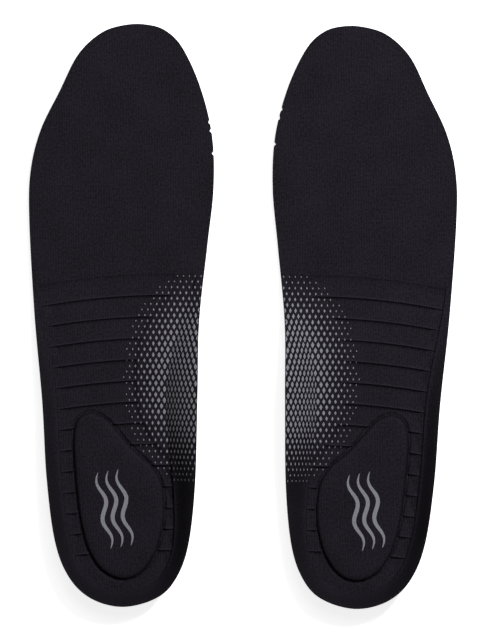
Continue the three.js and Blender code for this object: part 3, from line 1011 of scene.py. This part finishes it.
def diamond_tree():
    """Lays a diamond at each point of a mesh, sized by the point's own 'share' of a full one."""
    group, tree, inputs = new_geometry_tree(
        "printed_diamonds",
        {
            "Surface": ("Object", None),
            "Width": ("Float", 1.7 * MM),
            "Length": ("Float", 3.0 * MM),
            "Ink": ("Float", 0.05 * MM),
            "Material": ("Material", None),
        },
    )
    corners = {"Vertices": 8, "Radius": 0.5}
    circle = tree.node("GeometryNodeMeshCircle", {"fill_type": "TRIANGLE_FAN"}, corners)
    # Every second corner is drawn in, which makes the ring a diamond with slightly full sides.
    number = tree.node("GeometryNodeInputIndex")
    odd = number.maths("MODULO", number, 2.0)
    centre = tree.node("GeometryNodeInputPosition")
    drawn = vector_maths(tree, "SCALE", {0: centre, "Scale": 1 - odd * 0.22})
    shape = tree.node("GeometryNodeSetPosition", None, {"Geometry": circle, "Position": drawn})
    kind = {"data_type": "FLOAT_VECTOR"}
    share = tree.node("GeometryNodeInputNamedAttribute", kind, {"Name": "share"})
    full = vector(tree, X=inputs["Width"], Y=inputs["Length"], Z=1.0)
    scale = vector_maths(tree, "MULTIPLY", {0: share, 1: full})
    flat = repeated(tree, inputs["Geometry"], shape, Scale=scale)
    laid = laid_on(tree, flat, inputs["Surface"], inputs["Ink"])
    finish_geometry_tree(tree, laid, inputs["Material"])
    return group


def wave_tree():
    """Lays three parallel waves side by side, with pointed ends, as the mark on a heel pad."""
    group, tree, inputs = new_geometry_tree(
        "printed_waves",
        {
            "Surface": ("Object", None),
            "Length": ("Float", 38 * MM),
            "Swing": ("Float", 1.6 * MM),
            "Stroke": ("Float", 2.0 * MM),
            "Spacing": ("Float", 5.0 * MM),
            "Count": ("Int", 3),
            "Tilt": ("Float", 0.17),
            "Across": ("Float", 0.0),
            "Along": ("Float", 0.0),
            "Ink": ("Float", 0.05 * MM),
            "Material": ("Material", None),
        },
    )
    line = tree.node("GeometryNodeCurvePrimitiveLine", None, {"End": vector(tree, Y=inputs["Length"])})
    points = tree.node("GeometryNodeResampleCurve", None, {"Curve": line, "Count": 80})
    tree.node("GeometryNodeSplineParameter")
    share = tree.also("Factor")
    swing = (share * (4 * math.pi)).sin() * inputs["Swing"]
    offset = vector(tree, X=swing, Y=inputs["Length"] * -0.5)
    waved = tree.node("GeometryNodeSetPosition", None, {"Geometry": points, "Offset": offset})
    width = (share * math.pi).sin() ** 0.6
    sized = tree.node("GeometryNodeSetCurveRadius", None, {"Curve": waved, "Radius": width})
    half = inputs["Stroke"] * 0.5
    ends = {"Start": vector(tree, X=half * -1.0), "End": vector(tree, X=half)}
    profile = tree.node("GeometryNodeCurvePrimitiveLine", None, ends)
    profile = tree.node("GeometryNodeResampleCurve", None, {"Curve": profile, "Count": 5})
    sweep = {"Curve": sized, "Profile Curve": profile, "Scale": width}
    strip = tree.node("GeometryNodeCurveToMesh", None, sweep)
    row = {
        "Count": inputs["Count"],
        "Start Location": vector(tree, X=inputs["Spacing"] * -1.0),
        "Offset": vector(tree, X=inputs["Spacing"]),
    }
    flat = repeated(tree, tree.node("GeometryNodeMeshLine", {"mode": "OFFSET"}, row), strip)
    move = {
        "Geometry": flat,
        "Translation": vector(tree, X=inputs["Across"], Y=inputs["Along"]),
        "Rotation": vector(tree, Z=inputs["Tilt"]),
    }
    moved = tree.node("GeometryNodeTransform", None, move)
    laid = laid_on(tree, moved, inputs["Surface"], inputs["Ink"])
    finish_geometry_tree(tree, laid, inputs["Material"])
    return group


def stud_tree():
    """Stands a six-sided stud on each point of a mesh."""
    group, tree, inputs = new_geometry_tree(
        "sole_studs",
        {
            "Radius": ("Float", 1.9 * MM),
            "Height": ("Float", 1.1 * MM),
            "Material": ("Material", None),
        },
    )
    cone = {
        "Vertices": 6,
        "Radius Top": inputs["Radius"],
        "Radius Bottom": inputs["Radius"] * 0.82,
        "Depth": inputs["Height"],
    }
    stud = tree.node("GeometryNodeMeshCone", None, cone, output="Mesh")
    finish_geometry_tree(tree, repeated(tree, inputs["Geometry"], stud), inputs["Material"])
    return group


# ---- Points that the trees repeat on -------------------------------------------------------------


def point_mesh(name, points, share=None):
    mesh = bpy.data.meshes.new(name)
    mesh.from_pydata(np.asarray(points, float).tolist(), [], [])
    if share is not None:
        layer = mesh.attributes.new("share", "FLOAT_VECTOR", "POINT")
        layer.data.foreach_set("vector", np.asarray(share, np.float32).ravel())
    return mesh


def diamond_points(insole):
    """Places and sizes of the printed diamonds, in staggered rows, evenly spaced along the cloth."""
    sizes = insole.sizes
    front = insole.along(PRINT_CENTRE) + sizes.print_along
    count = int(2 * sizes.print_along / sizes.diamond_row) + 1
    ys = front - np.arange(count) * sizes.diamond_row
    rays = Rays(insole, np.stack([0 * ys + insole.spine, ys], 1), np.tile([1.0, 0.0], (count, 1)))
    inset = np.linspace(1, 0, 500) * rays.length
    height = insole.top(rays, inset)
    x, _ = rays.at(inset)
    run = np.diff(x, axis=1)
    walk = np.hypot(run, np.diff(height, axis=1))
    walked = np.concatenate([0 * x[:, :1], np.cumsum(walk, 1)], 1)
    places, shares = [], []
    for row, y in enumerate(ys):
        steps = (np.arange(40) - 0.1 + 0.5 * (row % 2)) * sizes.diamond_pitch
        steps = steps[(steps > 0) & (steps < walked[row, -1])]
        across = np.interp(steps, walked[row], x[row])
        lean = np.interp(steps, walked[row, 1:], run[row] / walk[row])
        border = insole.print_share(across, y)
        size = np.clip(1 - 1.45 * (border - 0.5), 0.3, 1)
        kept = border < 1
        places.append(insole.place(across, y, 0 * across)[kept])
        shares.append(np.stack([size * lean, size, 1 + 0 * size], 1)[kept])
    return np.concatenate(places), np.concatenate(shares)


def stud_points(insole):
    """Places of the sole's studs, in a staggered grid inside its panels."""
    sizes = insole.sizes
    pitch, row_pitch = sizes.stud_pitch, sizes.stud_pitch * math.sqrt(3) / 2
    rows, columns = int(insole.length / row_pitch), int(insole.width / pitch)
    row, column = (index.ravel() for index in np.indices((rows, columns)))
    x = (column + 0.5 * (row % 2) - columns / 2) * pitch
    y = (row + 0.5 - rows / 2) * row_pitch
    around = np.array([(1, 0), (-1, 0), (0, 1), (0, -1)]) * STUD_CLEARANCE
    inside = np.minimum.reduce([sole_panel(insole, x + dx, y + dy) for dx, dy in around])
    chosen = inside > 0.9
    return insole.place(x[chosen], y[chosen], 0)


# ---- Operators ----------------------------------------------------------------------------------


def finish_piece(piece, nodes=()):
    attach(piece, "root")
    if nodes:
        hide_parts(*nodes)


def grown_piece(name, points, tree, values, share=None):
    """A piece that a geometry tree makes on points."""
    piece = link(name, point_mesh(name, points, share))
    run_geometry_tree(piece, tree, values)
    finish_piece(piece)


def printed_piece(side, label, points, tree, values, share=None):
    """A piece of grey ink on the knit of one side's cover."""
    scene = bpy.context.scene
    values = {
        **values,
        "Surface": bpy.data.objects[f"{side}_knit_cover"],
        "Ink": scene.insole_sizes.ink,
        "Material": shared_material("grey_ink", knit_material, scene.insole_colours.ink, True),
    }
    grown_piece(f"{side}_{label}", points, tree, values, share)


def shared_material(name, maker, *values):
    return bpy.data.materials.get(name) or maker(name, *values)


class INSOLE_OT_top_covers(bpy.types.Operator):
    """Makes the knit top covers with their moulded ridges and heel pads"""

    bl_idname = "insole.top_covers"
    bl_label = "Top covers"

    def execute(self, context):
        colours = context.scene.insole_colours
        knit = shared_material("black_knit", knit_material, colours.knit)
        for side in SIDES:
            insole = Insole(side)
            cover = link(f"{side}_knit_cover", cover_mesh(insole), knit)
            finish_piece(cover, [f"{side}_top_cover"])
        return {"FINISHED"}


class INSOLE_OT_footbeds(bpy.types.Operator):
    """Makes the foam footbeds with their pockets, recesses and studded soles"""

    bl_idname = "insole.footbeds"
    bl_label = "Footbeds"

    def execute(self, context):
        colours, sizes = context.scene.insole_colours, context.scene.insole_sizes
        foam = shared_material("charcoal_foam", foam_material, colours.foam)
        tree = stud_tree()
        studs = {"Radius": sizes.stud, "Height": sizes.sole_panel + STUD_ROOT, "Material": foam}
        for side in SIDES:
            insole = Insole(side)
            footbed = link(f"{side}_moulded_footbed", footbed_mesh(insole), foam)
            finish_piece(footbed, [f"{side}_footbed_foam"])
            grown_piece(f"{side}_sole_studs", stud_points(insole), tree, studs)
        return {"FINISHED"}


class INSOLE_OT_heel_cushions(bpy.types.Operator):
    """Makes the gel cushions in the footbeds' pockets"""

    bl_idname = "insole.heel_cushions"
    bl_label = "Heel cushions"

    def execute(self, context):
        gel = shared_material("heel_gel", gel_material, context.scene.insole_colours.gel)
        for side in SIDES:
            cushion = link(f"{side}_gel_cushion", cushion_mesh(Insole(side)), gel)
            finish_piece(cushion, [f"{side}_heel_cushion"])
        return {"FINISHED"}


class INSOLE_OT_arch_shells(bpy.types.Operator):
    """Makes the stiff shells round the heel cups and under the arches"""

    bl_idname = "insole.arch_shells"
    bl_label = "Arch shells"

    def execute(self, context):
        plastic = shared_material("shell_plastic", shell_material, context.scene.insole_colours.shell)
        for side in SIDES:
            shell = link(f"{side}_ribbed_shell", shell_mesh(Insole(side)), plastic)
            finish_piece(shell, [f"{side}_arch_shell"])
        return {"FINISHED"}


class INSOLE_OT_arch_prints(bpy.types.Operator):
    """Prints the fields of diamonds beside the arches"""

    bl_idname = "insole.arch_prints"
    bl_label = "Arch prints"

    def execute(self, context):
        sizes = context.scene.insole_sizes
        tree = diamond_tree()
        values = {"Width": sizes.diamond_width, "Length": sizes.diamond_length}
        for side in SIDES:
            points, shares = diamond_points(Insole(side))
            printed_piece(side, "arch_print", points, tree, values, shares)
        return {"FINISHED"}


class INSOLE_OT_heel_marks(bpy.types.Operator):
    """Prints three waves on each heel pad"""

    bl_idname = "insole.heel_marks"
    bl_label = "Heel marks"

    def execute(self, context):
        tree = wave_tree()
        for side in SIDES:
            insole = Insole(side)
            centre = insole.place(*insole.pad.mean(0), 0)
            values = {"Across": float(centre[0]), "Along": float(centre[1]) - MARK_SETBACK}
            printed_piece(side, "heel_mark", [centre], tree, values)
        return {"FINISHED"}


class INSOLE_OT_stage(bpy.types.Operator):
    """Makes the pale floor, the soft studio light and the camera over the pair"""

    bl_idname = "insole.stage"
    bl_label = "Stage"

    def execute(self, context):
        scene = context.scene
        mesh = bpy.data.meshes.new("floor")
        half, drop = 4, 0.05 * MM
        corners = [(-half, -half, -drop), (half, -half, -drop), (half, half, -drop), (-half, half, -drop)]
        mesh.from_pydata(corners, [], [(0, 1, 2, 3)])
        material, tree = new_shader("pale_floor")
        cloudy = noise(tree, object_place(tree), 3.0)
        floor_colour = scene.insole_colours.floor
        tint = mix(tree, cloudy, scaled(floor_colour, 0.99), scaled(floor_colour, 1.01))
        settings = {
            "Specular IOR Level": 0.1,
            "Emission Color": (1, 1, 1, 1),
            "Emission Strength": 0.8,
        }
        finish_shader(tree, settings, tint, 0.9)
        link("floor", mesh, material)

        world = bpy.data.worlds.new("studio")
        world.use_nodes = True
        sky = world.node_tree.nodes["Background"].inputs
        sky["Color"].default_value = (1, 1, 1, 1)
        sky["Strength"].default_value = 0.08
        scene.world = world
        for name, place, size, power in (
            ("key_softbox", (0.4, 0.54, 1.08), 0.3, 17.2),
            ("fill_softbox", (0.1, 0.7, 2.0), 0.8, 6.0),
        ):
            lamp = bpy.data.lights.new(name, "AREA")
            lamp.energy, lamp.size = power, size
            light = bpy.data.objects.new(name, lamp)
            scene.collection.objects.link(light)
            light.location = place
            light.rotation_mode = "QUATERNION"
            light.rotation_quaternion = (-light.location).to_track_quat("-Z", "Y")

        lens = bpy.data.cameras.new("camera")
        height, view_length = 6.0, 311.5 * MM
        lens.lens = lens.sensor_width * height / view_length
        lens.clip_end = 20
        camera = bpy.data.objects.new("camera", lens)
        scene.collection.objects.link(camera)
        camera.location = (-1.7 * MM, -0.7 * MM, height)
        camera.rotation_euler = (0, 0, math.radians(0.52))
        scene.camera = camera
        scene.view_settings.view_transform = "Standard"
        scene.view_settings.look = "None"
        return {"FINISHED"}


OPERATORS = (
    INSOLE_OT_stage,
    INSOLE_OT_footbeds,
    INSOLE_OT_arch_shells,
    INSOLE_OT_heel_cushions,
    INSOLE_OT_top_covers,
    INSOLE_OT_arch_prints,
    INSOLE_OT_heel_marks,
)


class INSOLE_PT_panel(bpy.types.Panel):
    """Lists the steps that make the pair, and its sizes and colours"""

    bl_idname = "INSOLE_PT_panel"
    bl_label = "Insoles"
    bl_space_type = "VIEW_3D"
    bl_region_type = "UI"
    bl_category = "Insoles"

    def draw(self, context):
        for operator in OPERATORS:
            self.layout.operator(operator.bl_idname)
        for group in (context.scene.insole_colours, context.scene.insole_sizes):
            box = self.layout.box()
            for name in group.__annotations__:
                box.prop(group, name)


CLASSES = (InsoleSizes, InsoleColours, *OPERATORS, INSOLE_PT_panel)


def register():
    for item in CLASSES:
        bpy.utils.register_class(item)
    bpy.types.Scene.insole_sizes = PointerProperty(type=InsoleSizes)
    bpy.types.Scene.insole_colours = PointerProperty(type=InsoleColours)


def unregister():
    del bpy.types.Scene.insole_colours
    del bpy.types.Scene.insole_sizes
    for item in reversed(CLASSES):
        bpy.utils.unregister_class(item)


def main():
    register()
    for operator in OPERATORS:
        area, name = operator.bl_idname.split(".")
        getattr(getattr(bpy.ops, area), name)()


if __name__ == "__main__":
    main()
